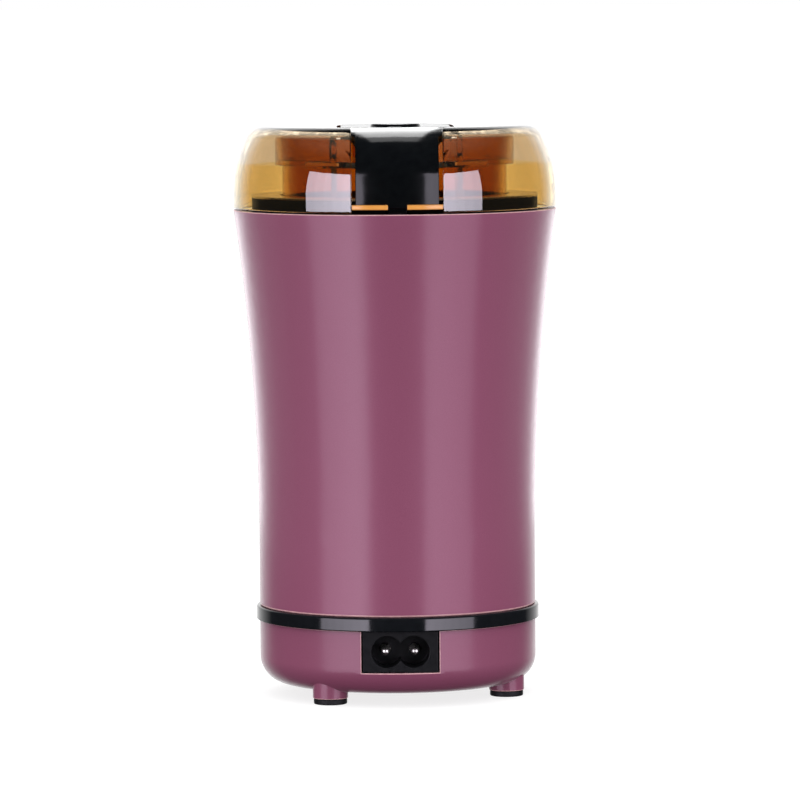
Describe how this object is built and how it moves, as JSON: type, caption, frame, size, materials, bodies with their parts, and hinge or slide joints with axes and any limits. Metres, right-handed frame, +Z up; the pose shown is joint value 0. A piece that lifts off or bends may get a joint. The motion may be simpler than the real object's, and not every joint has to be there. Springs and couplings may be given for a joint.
{
  "type": "electric coffee grinder",
  "caption": "Electric blade coffee grinder: a flared mauve shell on a footed base with a pin inlet, and a clear amber lid whose black press lever works the inner switch.",
  "frame": {"origin": "on the floor, under the middle of the body", "axes": "+Z up along the motor shaft, -Y towards the inlet and the lever's tongue"},
  "size_m": [0.096, 0.0959, 0.1697],
  "materials": {
    "mauve_coat": "pearl satin coat",
    "black_gloss": "polished moulding",
    "black_matt": "fine moulded texture",
    "amber_clear": "clear tinted moulding",
    "amber_deep": "clear moulding of a deeper tint",
    "rubber": "matt",
    "bright_steel": "satin",
    "zinc": "zinc plated",
    "nickel": "bright plated",
    "copper_wire": "varnished wire",
    "brass": "bright",
    "core_iron": "laminated",
    "carbon": "pressed carbon",
    "cream_plastic": "moulded",
    "frame_alloy": "die cast",
    "lead_brown": "insulated wire",
    "lead_blue": "insulated wire",
    "lead_black": "insulated wire"
  },
  "bodies": {
    "housing": {"body_shell": "mauve_coat", "trim_ring": "black_gloss", "base_pan": "mauve_coat", "foot_pad_left": "rubber", "foot_pad_right": "rubber", "foot_pad_back": "rubber", "base_screws": "zinc", "inlet_housing": "black_matt", "inlet_pin_left": "nickel", "inlet_pin_right": "nickel", "bowl_collar": "black_matt", "collar_screws": "zinc", "bowl": "bright_steel", "shaft_seal": "rubber", "micro_switch": "black_matt", "switch_terminals": "brass", "motor_frame_top": "frame_alloy", "motor_frame_bottom": "black_matt", "motor_dampers": "rubber", "motor_screws": "zinc", "tie_screws": "zinc", "stator_core": "core_iron", "field_coil_left": "copper_wire", "field_coil_right": "copper_wire", "bearing_top": "brass", "bearing_bottom": "brass", "brush_holder_left": "brass", "brush_holder_right": "brass", "carbon_brush_left": "carbon", "carbon_brush_right": "carbon", "brush_spring_left": "bright_steel", "brush_spring_right": "bright_steel", "lead_live": "lead_brown", "lead_neutral": "lead_blue", "lead_motor": "lead_black"},
    "lid": {"lid_shell": "amber_clear", "lid_cup": "amber_deep", "lever_pin": "bright_steel", "lever_spring": "bright_steel"},
    "lever": {"press_lever": "black_gloss"},
    "push_rod": {"push_rod": "cream_plastic", "switch_plunger": "cream_plastic"},
    "rotor": {"motor_shaft": "bright_steel", "armature_core": "core_iron", "armature_winding": "copper_wire", "commutator": "copper_wire", "fan": "cream_plastic", "blade": "bright_steel", "blade_washer": "bright_steel", "blade_nut": "nickel"}
  },
  "joints": [
    {"name": "lid_lift", "type": "slide", "parent": "housing", "child": "lid", "axis": [0, 0, 1], "range_m": [0, 0.06]},
    {"name": "lever_press", "type": "hinge", "parent": "lid", "child": "lever", "pos_m": [0, 0.004, 0.1638], "axis": [1, 0, 0], "range_deg": [0, 2.42], "stiffness_Nm_per_rad": 1, "springref_deg": -8.59, "deforming": ["lever_spring"]},
    {"name": "rod_slide", "type": "slide", "parent": "housing", "child": "push_rod", "axis": [0, 0, -1], "range_m": [0, 0.00205]},
    {"name": "motor_spin", "type": "hinge", "parent": "housing", "child": "rotor", "pos_m": [0, 0, 0.0707], "axis": [0, 0, 1], "continuous": true}
  ],
  "couplings": [
    {"joint": "rod_slide", "follows": "lever_press", "m_per_rad": 0.04735}
  ]
}
